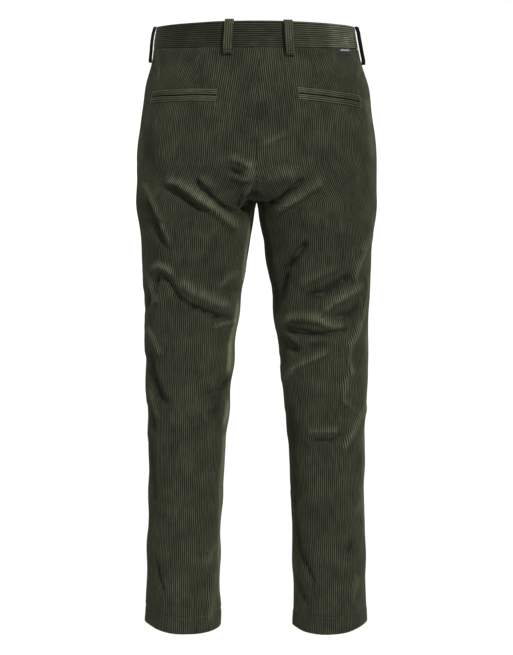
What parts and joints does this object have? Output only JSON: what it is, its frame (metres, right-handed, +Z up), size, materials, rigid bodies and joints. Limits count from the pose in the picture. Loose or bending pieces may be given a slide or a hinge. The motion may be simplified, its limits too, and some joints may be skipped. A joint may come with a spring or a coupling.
{
  "type": "chino trousers",
  "caption": "Hollow straight-leg corduroy chinos, filled out as when worn, with waistband, belt loops, welt back pockets and turned-up hems.",
  "frame": {"origin": "centre of the waist opening, inside the waistband, about a centimetre below its top edge at the sides", "axes": "+Z up out of the waist, +X towards the wearer's left, -Y towards the front of the garment"},
  "size_m": [0.3916, 0.2416, 1.0077],
  "materials": {
    "corduroy": "dark olive cotton corduroy with upright ribs, napped",
    "band_corduroy": "the same corduroy with its ribs running round the waist",
    "zip_tape": "woven polyester tape",
    "zip_metal": "aged brass",
    "button": "dark horn-like resin, satin",
    "label": "plain black woven tab with a pale stripe"
  },
  "bodies": {
    "root": {"back_left": "corduroy", "back_right": "corduroy", "front_left": "corduroy", "front_right": "corduroy", "side_pocket_facing_left": "corduroy", "side_pocket_facing_right": "corduroy", "pocket_welt_upper_left": "corduroy", "pocket_welt_lower_left": "corduroy", "pocket_welt_upper_right": "corduroy", "pocket_welt_lower_right": "corduroy", "waistband": "band_corduroy", "belt_loop_back_left": "band_corduroy", "belt_loop_back_right": "band_corduroy", "belt_loop_side_left": "band_corduroy", "belt_loop_side_right": "band_corduroy", "belt_loop_front_left": "band_corduroy", "belt_loop_front_right": "band_corduroy", "fly_shield": "corduroy", "zip_tape": "zip_tape", "zip_slider": "zip_metal", "waist_button": "button", "waist_label": "label"}
  },
  "joints": []
}
